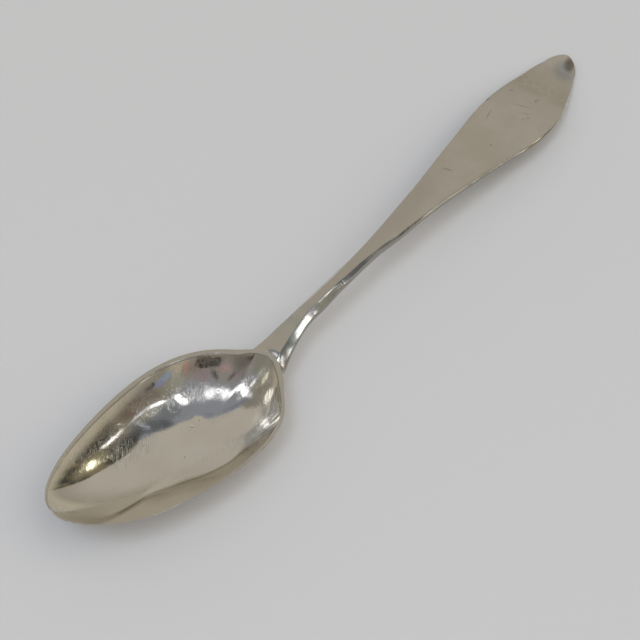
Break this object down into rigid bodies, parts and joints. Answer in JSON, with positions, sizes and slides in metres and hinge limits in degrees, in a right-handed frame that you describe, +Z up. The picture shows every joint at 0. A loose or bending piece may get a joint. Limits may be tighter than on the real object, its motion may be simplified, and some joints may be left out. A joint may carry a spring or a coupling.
{
  "type": "teaspoon",
  "caption": "Worn silver teaspoon with a pointed oval bowl, a slim arched stem and a plain handle that widens and tapers to a blunt, turned-down end.",
  "frame": {"origin": "on the table, under the middle of the spoon's box", "axes": "+X from the bowl's tip towards the handle's end, +Y to the left of someone who holds the handle's end and looks along the spoon to the bowl, +Z up out of the bowl"},
  "size_m": [0.14, 0.0264, 0.0118],
  "materials": {
    "bowl_silver": "bright old silver with fine scratches and small pits",
    "handle_silver": "old silver rubbed to a soft satin, with fine scratches and dents"
  },
  "bodies": {
    "root": {"bowl": "bowl_silver", "handle": "handle_silver"}
  },
  "joints": []
}
